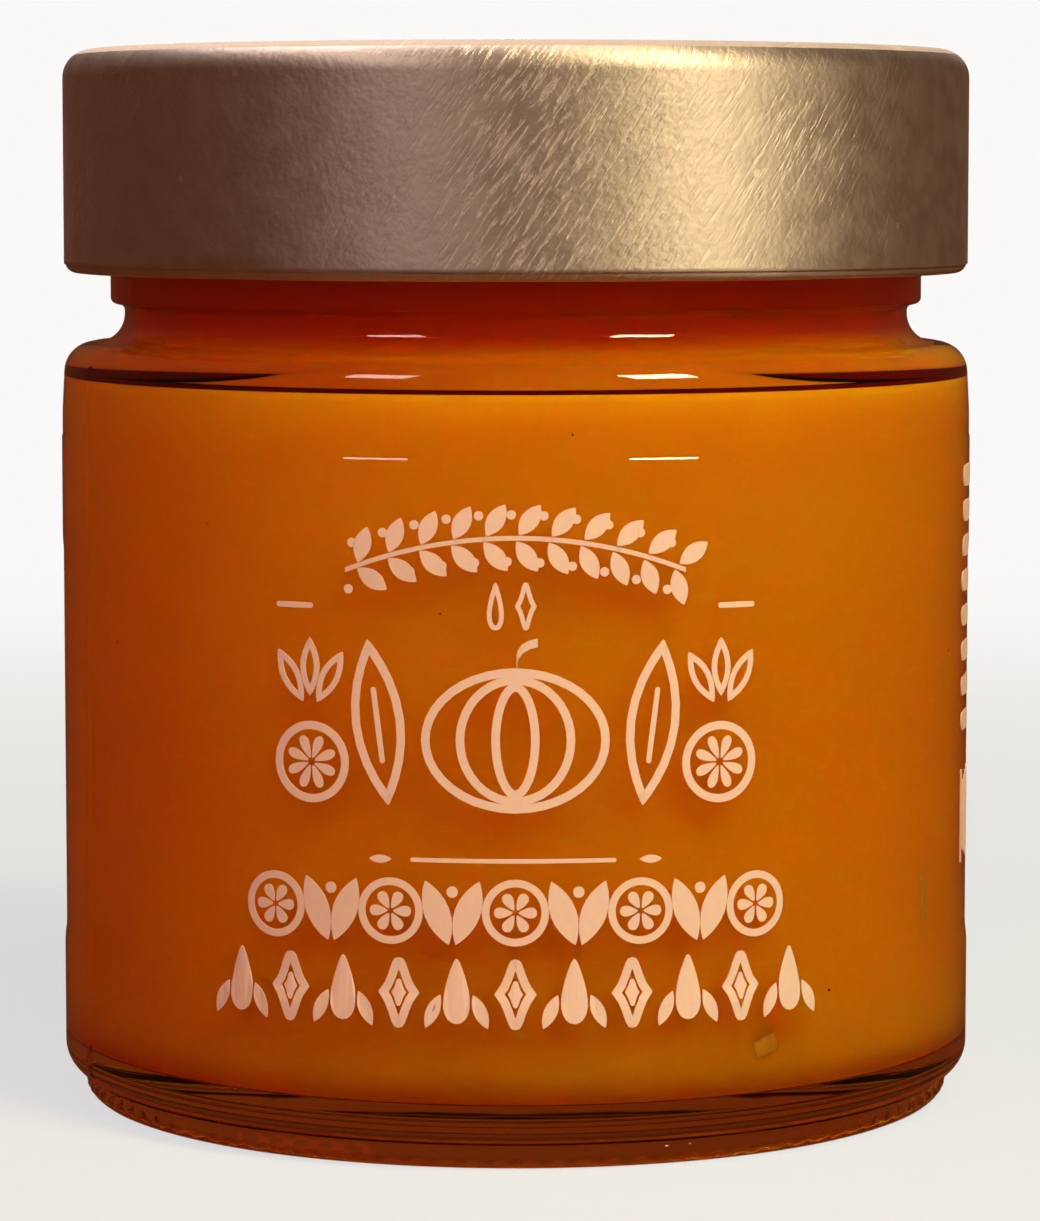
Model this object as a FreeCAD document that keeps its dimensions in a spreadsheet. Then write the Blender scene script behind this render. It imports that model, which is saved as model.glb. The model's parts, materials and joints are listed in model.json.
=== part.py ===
import FreeCAD, Part
import math
import os

import Sketcher

# A jar of squash jam: a straight-sided glass jar, its deep twist-off lid, and the jam.
# Millimetres, +Z up. The origin is the centre of the ring that the jar stands on, and the
# printed front faces -Y. All the pieces share the Z axis. Radii are measured from that axis,
# and heights from the standing ring. "Inner" is the side that touches the jam.

# Name, number and meaning of each driving size. Angles are in degrees.
SIZES = (
    ("overall_height", 82.6, "standing ring to the top of the lid"),
    ("base_band_radius", 36.05, "contact band above the heel, the widest part"),
    ("base_band_height", 12.5, "top of the lower band"),
    ("top_band_inset", 0.08, "upper contact band, in from the lower one"),
    ("panel_inset", 0.15, "label panel between the bands, in from the lower one"),
    ("panel_drop", 16.3, "shoulder down to the top of the label panel"),
    ("band_slope_height", 1.1, "height over which a band runs out into the panel"),
    ("band_blend_round", 4.0, "soft round at each end of that slope"),
    ("lean_drop", 5.4, "shoulder down to where the upper band starts to lean in"),
    ("lean_round", 12.0, "soft round at the start of that lean"),
    ("shoulder_inset", 0.43, "where leaning wall and shoulder would meet, in from the band"),
    ("shoulder_gap", 5.5, "shoulder up to the foot of the lid"),
    ("shoulder_round", 2.85, "outside round of the shoulder"),
    ("neck_inset", 5.1, "waist between shoulder and bead, in from the lower band"),
    ("neck_foot_round", 1.0, "hollow round where the neck leaves the shoulder"),
    ("neck_rise", 2.9, "height of the waist"),
    ("bead_rise", 1.1, "how far the bead stands out from the waist"),
    ("bead_slope_height", 0.25, "rise of the bead's underside"),
    ("bead_round", 0.45, "rounds of the bead's underside"),
    ("bead_depth", 2.9, "height of the bead, up to just inside the lid"),
    ("finish_step", 0.35, "bead in to the finish, the glass that the ridges stand on"),
    ("finish_slope_height", 0.35, "height over which that step runs out"),
    ("finish_wall", 3.4, "thickness of the finish, which leaves the mouth"),
    ("lip_round", 0.9, "rounds of the rim"),
    ("ring_inset", 1.8, "outside of the standing ring, in from the lower band"),
    ("ring_height", 1.9, "height of the standing ring"),
    ("ring_top_round", 0.6, "upper round of the standing ring"),
    ("ring_foot_round", 1.0, "lower round of the standing ring"),
    ("ring_width", 2.4, "width of the standing ring across its foot"),
    ("ring_inner_round", 0.6, "rounds on the inside of the ring"),
    ("ring_inside_height", 1.2, "depth of the base inside the ring"),
    ("base_push_up", 2.2, "height of the base's underside at its centre"),
    ("notch_depth", 0.45, "depth of the groove between the ring and the heel"),
    ("heel_rise", 0.45, "ring up to where the heel would meet the wall with no round"),
    ("heel_round", 2.3, "outside round of the heel"),
    ("wall", 3.15, "thickness of the glass wall at the lower band"),
    ("shoulder_wall", 3.25, "thickness of the glass at the shoulder"),
    ("inner_floor", 4.4, "lowest ring of the floor under the jam"),
    ("inner_floor_centre", 5.6, "floor under the jam at its centre"),
    ("inner_floor_round", 4.0, "round between the floor and the inner wall"),
    ("inner_shoulder_round", 1.3, "round in the corner under the shoulder"),
    ("inner_neck_round", 2.0, "round where the shoulder's underside meets the bore"),
    ("knurl_count", 104, "small bumps round the standing ring"),
    ("knurl_radius", 0.55, "radius of each bump"),
    ("knurl_sink", 0.38, "how far in from the ring's outside each bump's centre lies"),
    ("fill_drop", 10.6, "top of the lid down to the jam, which the lid hides"),
    ("fill_clearance", 0.05, "between the jam and the glass"),
    ("lid_depth", 17.4, "height of the lid"),
    ("lid_sheet", 0.3, "thickness of the tinplate"),
    ("lid_edge_round", 2.2, "outside round of the lid's top edge"),
    ("seat_clearance", 0.05, "between the lid and the glass rim"),
    ("skirt_clearance", 2.1, "between the glass ridges and the inside of the skirt"),
    ("mouth_clearance", 0.7, "between the mouth and the lid's recessed panel"),
    ("recess_depth", 0.95, "depth of the recessed panel"),
    ("recess_slope", 1.1, "width of the slope down to the panel"),
    ("recess_round", 0.8, "rounds of that slope"),
    ("button_radius", 11.0, "flat centre of the safety button"),
    ("button_depth", 0.28, "how far the button is drawn down"),
    ("button_slope", 2.4, "width of the button's slope"),
    ("button_round", 3.0, "rounds of the button"),
    ("curl_radius", 0.8, "radius of the rolled rim"),
    ("curl_inset", 0.12, "step from the skirt in to the rolled rim"),
    ("hem_height", 0.62, "rolled rim that shows below the skirt"),
    ("lug_count", 4, "lugs, and as many ridges on the glass"),
    ("lug_angle", 22.0, "width of each lug"),
    ("lug_turn", -39.0, "turn of the first lug from +X"),
    ("lug_bite", 0.55, "how far a lug reaches in under its ridge"),
    ("lug_height", 1.3, "height of a lug"),
    ("lug_round", 0.4, "rounds of a lug"),
    ("dent_depth", 0.34, "depth of the pressed dent outside each lug"),
    ("dent_height", 1.6, "height of that dent"),
    ("dent_ease", 28.3, "how much larger than the skirt's the radius of the pressing tool is"),
    ("dent_angle", 24.0, "sweep of the tool, which reaches past both ends of the dent"),
    ("ridge_angle", 56.0, "width of each ridge on the glass"),
    ("ridge_reach", 1.6, "how far a ridge stands out from the finish"),
    ("ridge_height", 1.5, "height of a ridge halfway out"),
    ("ridge_slope_height", 0.4, "rise of a ridge's upper side to the finish, and fall outwards"),
    ("ridge_round", 0.35, "rounds of a ridge"),
    ("ridge_clearance", 0.12, "between a lug and the ridge above it"),
    ("tool_margin", 1.5, "how far a cutting outline runs past the piece"),
    ("full_turn", 360.0, "one whole turn"),
)

# Places that pieces share, as sums of those sizes.
LIP = "overall_height - lid_sheet - seat_clearance"
LID_FOOT = "overall_height - lid_depth"
SHOULDER = f"{LID_FOOT} - shoulder_gap"
NECK_TOP = f"{SHOULDER} + neck_rise"
UNDER_SHOULDER = f"{SHOULDER} - shoulder_wall"
PANEL_TOP = f"{SHOULDER} - panel_drop"
NECK = "base_band_radius - neck_inset"
BEAD = f"{NECK} + bead_rise"
FINISH = f"{BEAD} - finish_step"
MOUTH = f"{FINISH} - finish_wall"
CREST = f"{FINISH} + ridge_reach"
INNER_SKIRT = f"{CREST} + skirt_clearance"
SKIRT = f"{INNER_SKIRT} + lid_sheet"
RING = "base_band_radius - ring_inset"
INNER_WALL = "base_band_radius - wall"


# ---- the sheet, and sums of its sizes -------------------------------------------------------

def fill_sheet(document):
    """Write every driving size into a spreadsheet, one aliased number a row."""
    sheet = document.addObject("Spreadsheet::Sheet", "Sizes")
    for row, (alias, number, meaning) in enumerate(SIZES, start=1):
        sheet.set(f"A{row}", meaning)
        sheet.set(f"B{row}", str(number))
        sheet.setAlias(f"B{row}", alias)
    document.recompute()
    return sheet


def measure(sheet, words):
    """The number that a sum of sizes, such as 'lid_depth - lid_sheet', comes to."""
    total = 0.0
    sign = 1
    for word in words.split():
        if word in "+-":
            sign = 1 if word == "+" else -1
        elif word != "0":
            total += sign * getattr(sheet, word)
    return total


def formula(words):
    """The same sum as an expression that follows the sheet."""
    return " ".join(word if word in "+-" else f"Sizes.{word}" for word in words.split())


# ---- sketches -------------------------------------------------------------------------------

def new_sketch(body, name, role):
    """An empty sketch on one of the body's own origin planes."""
    sketch = body.newObject("Sketcher::SketchObject", name)
    plane = next(item for item in body.Origin.OriginFeatures if item.Role == role)
    sketch.AttachmentSupport = (plane, [""])
    sketch.MapMode = "FlatFace"
    return sketch


def bind(sketch, constraint, name, words):
    """Add one constraint, and tie its value to a sum of sizes."""
    index = sketch.addConstraint(constraint)
    sketch.renameConstraint(index, name)
    sketch.setExpression(f"Constraints.{name}", formula(words))


def place_point(sketch, sheet, geometry, end, name, across, up):
    """Hold one point of the sketch at its distances from the two axes."""
    if across == "0":
        sketch.addConstraint(Sketcher.Constraint("PointOnObject", geometry, end, -2))
    else:
        distance = Sketcher.Constraint("DistanceX", -1, 1, geometry, end, measure(sheet, across))
        bind(sketch, distance, f"{name}_across", across)
    if up == "0":
        sketch.addConstraint(Sketcher.Constraint("PointOnObject", geometry, end, -1))
    else:
        distance = Sketcher.Constraint("DistanceY", -1, 1, geometry, end, measure(sheet, up))
        bind(sketch, distance, f"{name}_up", up)


def corner_arc(before, corner, after, radius):
    """Where a round starts and ends at a corner, its arc, and whether it turns left."""
    back = (before - corner).normalize()
    ahead = (after - corner).normalize()
    half = back.getAngle(ahead) / 2
    start = corner + back * (radius / math.tan(half))
    end = corner + ahead * (radius / math.tan(half))
    centre = corner + (back + ahead).normalize() * (radius / math.sin(half))
    turns_left = back.cross(ahead).z < 0
    first, last = (start, end) if turns_left else (end, start)
    angles = [math.atan2(point.y - centre.y, point.x - centre.x) for point in (first, last)]
    circle = Part.Circle(centre, FreeCAD.Vector(0, 0, 1), radius)
    return start, end, Part.ArcOfCircle(circle, angles[0], angles[1]), turns_left


def outline(body, name, corners, role="XZ_Plane"):
    """Closed outline of straight runs and tangent rounds.

    Each corner is (name, across, up, round). Across and up say where the two runs would meet,
    and the round is a radius, or None where the corner is left sharp.
    """
    sheet = body.Document.getObject("Sizes")
    sketch = new_sketch(body, name, role)
    places = [FreeCAD.Vector(measure(sheet, across), measure(sheet, up), 0)
              for label, across, up, radius in corners]
    count = len(corners)
    arcs = {}
    leaves = list(places)
    enters = list(places)
    for index, (label, across, up, radius) in enumerate(corners):
        if radius is not None:
            neighbours = places[index - 1], places[(index + 1) % count]
            start, end, arc, turns_left = corner_arc(
                neighbours[0], places[index], neighbours[1], measure(sheet, radius))
            enters[index], leaves[index] = start, end
            arcs[index] = arc, turns_left
    runs = [Part.LineSegment(leaves[index], enters[(index + 1) % count])
            for index in range(count)]
    sketch.addGeometry(runs, False)
    for index, (label, across, up, radius) in enumerate(corners):
        before = (index - 1) % count
        if radius is None:
            sketch.addConstraint(Sketcher.Constraint("Coincident", before, 2, index, 1))
            place_point(sketch, sheet, index, 1, label, across, up)
            continue
        arc, turns_left = arcs[index]
        bend = sketch.addGeometry(arc, False)
        meeting = sketch.addGeometry(Part.Point(places[index]), True)
        first, last = (1, 2) if turns_left else (2, 1)
        sketch.addConstraint([
            Sketcher.Constraint("Tangent", before, 2, bend, first),
            Sketcher.Constraint("Tangent", bend, last, index, 1),
            Sketcher.Constraint("PointOnObject", meeting, 1, before),
            Sketcher.Constraint("PointOnObject", meeting, 1, index),
        ])
        place_point(sketch, sheet, meeting, 1, label, across, up)
        size = Sketcher.Constraint("Radius", bend, measure(sheet, radius))
        bind(sketch, size, f"{label}_round", radius)
    return sketch


def add_axis(sketch, name, across):
    """Upright construction line to turn a shape about, left of the sketch's own axis."""
    sheet = sketch.Document.getObject("Sizes")
    place = -measure(sheet, across)
    ends = FreeCAD.Vector(place, 0, 0), FreeCAD.Vector(place, 10, 0)
    line = sketch.addGeometry(Part.LineSegment(*ends), True)
    sketch.addConstraint([
        Sketcher.Constraint("Vertical", line),
        Sketcher.Constraint("PointOnObject", line, 1, -1),
        Sketcher.Constraint("Distance", line, 10),
    ])
    distance = Sketcher.Constraint("DistanceX", line, 1, -1, 1, -place)
    bind(sketch, distance, name, across)


# ---- solid features -------------------------------------------------------------------------

def turn(body, name, sketch, angle="full_turn", kind="Revolution", axis="V_Axis"):
    """Turn a sketch about an upright axis, evenly to both sides of its plane."""
    feature = body.newObject(f"PartDesign::{kind}", name)
    feature.Profile = sketch
    feature.ReferenceAxis = (sketch, [axis])
    feature.Midplane = True
    feature.setExpression("Angle", formula(angle))
    return feature


def ring_of(body, name, feature, count):
    """Repeat a feature evenly round the Z axis."""
    pattern = body.newObject("PartDesign::PolarPattern", name)
    pattern.Originals = [feature]
    axis = next(item for item in body.Origin.OriginFeatures if item.Role == "Z_Axis")
    pattern.Axis = (axis, [""])
    pattern.setExpression("Angle", formula("full_turn"))
    pattern.setExpression("Occurrences", formula(count))
    body.Tip = pattern
    return pattern


def new_body(document, name):
    """A sub-part whose Label names its file, turned so that its lugs or ridges face right."""
    body = document.addObject("PartDesign::Body", name)
    body.Label = name
    body.Placement = FreeCAD.Placement(
        FreeCAD.Vector(0, 0, 0), FreeCAD.Rotation(FreeCAD.Vector(0, 0, 1), 0))
    body.setExpression("Placement.Rotation.Angle", formula("lug_turn"))
    return body


# ---- the glass jar --------------------------------------------------------------------------

def build_glass(document):
    """The blown jar: standing ring, heel, two bands, shoulder, neck, bead and threaded finish."""
    body = new_body(document, "glass_jar")
    top_band = "base_band_radius - top_band_inset"
    panel = "base_band_radius - panel_inset"
    bead_top = f"{NECK_TOP} + bead_depth"
    outside = [
        ("base_centre", "0", "base_push_up", None),
        ("ring_root", f"{RING} - ring_width", "ring_inside_height", "ring_inner_round"),
        ("ring_inside", f"{RING} - ring_width", "0", "ring_inner_round"),
        ("ring_outside", RING, "0", "ring_foot_round"),
        ("ring_top", RING, "ring_height", "ring_top_round"),
        ("notch", f"{RING} - notch_depth", "ring_height", None),
        ("heel", "base_band_radius", "ring_height + heel_rise", "heel_round"),
        ("base_band", "base_band_radius", "base_band_height", "band_blend_round"),
        ("panel_foot", panel, "base_band_height + band_slope_height", "band_blend_round"),
        ("panel_head", panel, PANEL_TOP, "band_blend_round"),
        ("top_band", top_band, f"{PANEL_TOP} + band_slope_height", "band_blend_round"),
        ("band_top", top_band, f"{SHOULDER} - lean_drop", "lean_round"),
        ("shoulder", "base_band_radius - shoulder_inset", SHOULDER, "shoulder_round"),
        ("neck_foot", NECK, SHOULDER, "neck_foot_round"),
        ("neck_top", NECK, NECK_TOP, "bead_round"),
        ("bead_foot", BEAD, f"{NECK_TOP} + bead_slope_height", "bead_round"),
        ("bead_top", BEAD, bead_top, None),
        ("finish_foot", FINISH, f"{bead_top} + finish_slope_height", None),
        ("lip_outside", FINISH, LIP, "lip_round"),
    ]
    inside = [
        ("lip_inside", MOUTH, LIP, "lip_round"),
        ("mouth_foot", MOUTH, UNDER_SHOULDER, "inner_neck_round"),
        ("inner_shoulder", INNER_WALL, UNDER_SHOULDER, "inner_shoulder_round"),
        ("inner_floor", INNER_WALL, "inner_floor", "inner_floor_round"),
        ("floor_centre", "0", "inner_floor_centre", None),
    ]
    turn(body, "jar_wall", outline(body, "jar_wall_outline", outside + inside))
    add_ridges(body)
    add_knurls(body)
    return body


def add_ridges(body):
    """Thread ridges of the finish, one above each of the lid's lugs."""
    foot = f"{LID_FOOT} + lug_height + ridge_clearance"
    head = f"{foot} + ridge_height"
    root = f"{FINISH} - lip_round"
    corners = [
        ("root_foot", root, foot, None),
        ("crest_foot", CREST, foot, "ridge_round"),
        ("crest_head", CREST, f"{head} - ridge_slope_height", "ridge_round"),
        ("root_head", root, f"{head} + ridge_slope_height", None),
    ]
    ridge = turn(body, "ridge", outline(body, "ridge_outline", corners), "ridge_angle")
    ring_of(body, "ridges", ridge, "lug_count")


def add_knurls(body):
    """Small bumps halfway up the standing ring."""
    knurl = body.newObject("PartDesign::AdditiveSphere", "knurl")
    knurl.setExpression("Radius", formula("knurl_radius"))
    plane = next(item for item in body.Origin.OriginFeatures if item.Role == "XY_Plane")
    knurl.AttachmentSupport = (plane, [""])
    knurl.MapMode = "FlatFace"
    knurl.setExpression("AttachmentOffset.Base.x", formula(f"{RING} - knurl_sink"))
    knurl.setExpression("AttachmentOffset.Base.z", formula("ring_foot_round"))
    ring_of(body, "knurls", knurl, "knurl_count")


# ---- the jam --------------------------------------------------------------------------------

def build_jam(document):
    """The jam: it fills the jar from the floor, past the shoulder, and up into the neck."""
    body = new_body(document, "jam")
    side = f"{INNER_WALL} - fill_clearance"
    neck = f"{MOUTH} - fill_clearance"
    under_shoulder = f"{UNDER_SHOULDER} - fill_clearance"
    level = "overall_height - fill_drop"
    corners = [
        ("floor_centre", "0", "inner_floor_centre + fill_clearance", None),
        ("floor_edge", side, "inner_floor + fill_clearance",
         "inner_floor_round - fill_clearance"),
        ("shoulder", side, under_shoulder, "inner_shoulder_round - fill_clearance"),
        ("neck_foot", neck, under_shoulder, "inner_neck_round + fill_clearance"),
        ("neck_top", neck, level, None),
        ("top_centre", "0", level, None),
    ]
    turn(body, "jam_fill", outline(body, "jam_outline", corners))
    return body


# ---- the lid --------------------------------------------------------------------------------

def build_lid(document):
    """The tinplate lid: recessed panel with its button, deep skirt, rolled rim and lugs."""
    body = new_body(document, "lid")
    panel = "overall_height - recess_depth"
    button = f"{panel} - button_depth"
    edge = f"{MOUTH} - mouth_clearance"
    rim = "button_radius + button_slope"
    upper = [
        ("button_centre", "0", button, None),
        ("button", "button_radius", button, "button_round"),
        ("button_rim", rim, panel, "button_round"),
        ("panel_edge", f"{edge} - recess_slope", panel, "recess_round"),
        ("recess_edge", edge, "overall_height", "recess_round + lid_sheet"),
        ("top_edge", SKIRT, "overall_height", "lid_edge_round"),
        ("skirt_foot", SKIRT, f"{LID_FOOT} + hem_height", None),
    ]
    lower = [
        ("inner_skirt_foot", INNER_SKIRT, f"{LID_FOOT} + hem_height", None),
        ("inner_top_edge", INNER_SKIRT, "overall_height - lid_sheet",
         "lid_edge_round - lid_sheet"),
        ("inner_recess_edge", edge, "overall_height - lid_sheet", "recess_round"),
        ("inner_panel_edge", f"{edge} - recess_slope", f"{panel} - lid_sheet",
         "recess_round + lid_sheet"),
        ("inner_button_rim", rim, f"{panel} - lid_sheet", "button_round"),
        ("inner_button", "button_radius", f"{button} - lid_sheet", "button_round"),
        ("inner_button_centre", "0", f"{button} - lid_sheet", None),
    ]
    turn(body, "lid_sheet_shape", outline(body, "lid_outline", upper + lower))
    add_curl(body)
    add_lugs(body)
    add_dents(body)
    return body


def add_curl(body):
    """The rolled rim at the foot of the skirt, a ring of round section."""
    sheet = body.Document.getObject("Sizes")
    sketch = new_sketch(body, "curl_outline", "XZ_Plane")
    across = f"{SKIRT} - curl_inset - curl_radius"
    up = f"{LID_FOOT} + curl_radius"
    centre = FreeCAD.Vector(measure(sheet, across), measure(sheet, up), 0)
    radius = measure(sheet, "curl_radius")
    circle = sketch.addGeometry(Part.Circle(centre, FreeCAD.Vector(0, 0, 1), radius), False)
    place_point(sketch, sheet, circle, 3, "curl", across, up)
    bind(sketch, Sketcher.Constraint("Radius", circle, radius), "curl_round", "curl_radius")
    turn(body, "curl", sketch)


def add_lugs(body):
    """Lugs pressed inward from the rolled rim, which hold the lid under the glass ridges."""
    reach = f"{CREST} - lug_bite"
    root = f"{SKIRT} - curl_inset - curl_radius"
    foot = f"{LID_FOOT} + ridge_clearance"
    head = f"{LID_FOOT} + lug_height"
    corners = [
        ("reach_foot", reach, foot, "lug_round"),
        ("root_foot", root, foot, None),
        ("root_head", root, head, None),
        ("reach_head", reach, head, "lug_round"),
    ]
    lug = turn(body, "lug", outline(body, "lug_outline", corners), "lug_angle")
    ring_of(body, "lugs", lug, "lug_count")


def add_dents(body):
    """Shallow dents outside the lugs, which fade out at both ends."""
    face = f"{SKIRT} - dent_depth"
    outer = f"{SKIRT} + tool_margin"
    corners = [
        ("face_foot", face, f"{LID_FOOT} - tool_margin", None),
        ("outer_foot", outer, f"{LID_FOOT} - tool_margin", None),
        ("outer_head", outer, f"{LID_FOOT} + dent_height", None),
        ("skirt_head", SKIRT, f"{LID_FOOT} + dent_height", None),
        ("face_head", face, f"{LID_FOOT} + hem_height", None),
    ]
    sketch = outline(body, "dent_outline", corners)
    add_axis(sketch, "tool_axis", "dent_ease + dent_depth")
    body.Document.recompute()
    before = body.Tip.Shape.Volume
    dent = turn(body, "dent", sketch, "dent_angle", "Groove", "Axis0")
    pattern = ring_of(body, "dents", dent, "lug_count")
    body.Document.recompute()
    if pattern.Shape.Volume >= before:
        raise RuntimeError("the dents cut nothing")


# ---- building and writing -------------------------------------------------------------------

def check(document, bodies):
    """Stop if any object failed, or a sub-part is not one valid solid."""
    for item in document.Objects:
        if "Invalid" in item.State or "Error" in item.State:
            raise RuntimeError(f"{item.Name} failed: {item.State}")
    for body in bodies:
        shape = body.Shape
        if shape.isNull() or not shape.isValid() or len(shape.Solids) != 1:
            raise RuntimeError(f"{body.Label} is not one valid solid")


def main():
    document = FreeCAD.newDocument("squash_jam_jar")
    fill_sheet(document)
    bodies = [build(document) for build in (build_glass, build_jam, build_lid)]
    document.recompute()
    check(document, bodies)
    os.makedirs("parts", exist_ok=True)
    for body in bodies:
        body.Shape.exportStep(f"parts/{body.Label}.step")
        print(body.Label, round(body.Shape.Volume / 1000, 2), "cm3", body.Shape.BoundBox)


main()
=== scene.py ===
import json
import math
import random

import bpy
from mathutils import Matrix, Vector

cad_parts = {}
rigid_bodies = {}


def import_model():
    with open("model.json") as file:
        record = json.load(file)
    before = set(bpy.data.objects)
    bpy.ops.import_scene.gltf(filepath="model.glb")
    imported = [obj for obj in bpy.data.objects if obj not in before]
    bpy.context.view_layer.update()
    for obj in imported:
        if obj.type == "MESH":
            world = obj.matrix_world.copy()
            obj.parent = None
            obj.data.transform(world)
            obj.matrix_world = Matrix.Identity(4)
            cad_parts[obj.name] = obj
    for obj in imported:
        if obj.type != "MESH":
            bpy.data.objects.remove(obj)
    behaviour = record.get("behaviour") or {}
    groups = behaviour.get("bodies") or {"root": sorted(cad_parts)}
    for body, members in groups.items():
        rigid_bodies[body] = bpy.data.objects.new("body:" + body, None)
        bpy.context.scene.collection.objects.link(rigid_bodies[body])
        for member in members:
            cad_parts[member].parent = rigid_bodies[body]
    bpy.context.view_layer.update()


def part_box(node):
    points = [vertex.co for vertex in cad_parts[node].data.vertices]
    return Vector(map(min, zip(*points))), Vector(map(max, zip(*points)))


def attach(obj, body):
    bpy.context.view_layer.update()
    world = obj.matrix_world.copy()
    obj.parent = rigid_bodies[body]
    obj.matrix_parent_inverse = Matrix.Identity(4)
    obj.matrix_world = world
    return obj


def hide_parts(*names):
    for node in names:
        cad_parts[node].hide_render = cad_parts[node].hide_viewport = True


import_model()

# A jar of squash jam: clear glass, set jam, a satin tinplate lid and a print of white enamel.
# Metres, +Z up, the front of the jar faces -Y. Azimuth is counted from the front towards +X.

bl_info = {
    "name": "Squash Jam Jar",
    "version": (1, 0, 0),
    "blender": (4, 5, 0),
    "location": "View3D > Sidebar > Jam Jar",
    "description": "A filled jam jar: glass, jam, lid, enamel print and a plain studio",
    "category": "Object",
}

MM = 0.001
LID_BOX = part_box("lid")
JAM_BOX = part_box("jam")
LID_FOOT = LID_BOX[0].z
LID_TOP = LID_BOX[1].z
LID_RADIUS = LID_BOX[1].x
SEED = 212

# Rounds of the glass that are too small or too wide to be worth a slider.
SHARP = 0.02 * MM
CRISP = 0.1 * MM
SOFT = 0.6 * MM
BAND_ROUND = 4 * MM
LEAN_ROUND = 12 * MM

# The thread ridges on the neck, hidden by the lid, one under each lug.
RIDGE_FOOT = LID_FOOT + 1.42 * MM
RIDGE_HEIGHT = 1.6 * MM
RIDGE_REACH = 1.6 * MM
RIDGE_HALF = math.radians(28)

SEAM_HALF = math.radians(0.55)
KNURL_HALF = 0.75 * MM
KNURL_SHARE = 0.32
KNURL_COLUMNS = 6
JAM_COLUMNS = 360
LID_COLUMNS = 520
HEM_ZONE = 3 * MM
TOP_FACING = 0.8

# Where a finish changes: heights in the jam for its painted light and painted shade, and places
# along the lid's skirt from the front.
# Painted light: up towards the top, the jam is painted paler.
PAINTED_LIGHT_JAM = (25 * MM, 52 * MM)
# Painted shade: in the neck, under the lid, the jam is painted redder.
PAINTED_SHADE_NECK = (57.5 * MM, 61 * MM)
# Painted shade: in this ring under the shoulder, the jam's glancing mirror is painted almost black
# red.
PAINTED_SHADE_FOOT = (56.3 * MM, 56.5 * MM)
PAINTED_SHADE_HEAD = (57.4 * MM, 57.7 * MM)
GRIP_LEFT = (-7.5 * MM, -3 * MM)
GRIP_RIGHT = (3 * MM, 24 * MM)
SCRATCH_SLANT = math.radians(-35)
SCRATCH_STRETCH = 9
CHIP_SPACING = 7 * MM
# The lacquer's stretch and roughness, on the skirt and on the top.
SKIRT_SHEEN = (0.66, 0.52)
TOP_SHEEN = (0.0, 0.78)
SHEEN_TURN = 0.289
CARD_FADE = (0.1, 0.5)


# ---- values a user would change ----

def length(name, description, millimetres):
    """A distance, given in millimetres and kept in metres."""
    return bpy.props.FloatProperty(name=name, description=description,
                                   default=millimetres * MM, unit="LENGTH", precision=5)


def angle(name, description, degrees):
    """An angle, given in degrees and kept in radians."""
    return bpy.props.FloatProperty(name=name, description=description,
                                   default=math.radians(degrees), subtype="ANGLE")


def number(name, description, default):
    """A count of like things."""
    return bpy.props.IntProperty(name=name, description=description, default=default, min=1)


def linear(code):
    """Scene-linear red, green and blue of an sRGB colour such as 'C8780A'."""
    shades = [int(code[place:place + 2], 16) / 255 for place in (0, 2, 4)]
    return [shade / 12.92 if shade <= 0.04045 else ((shade + 0.055) / 1.055) ** 2.4
            for shade in shades]


def colour(name, description, code):
    """A colour, given as sRGB hex and kept scene-linear."""
    return bpy.props.FloatVectorProperty(name=name, description=description, size=3,
                                         subtype="COLOR", min=0, max=1, default=linear(code))


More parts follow.
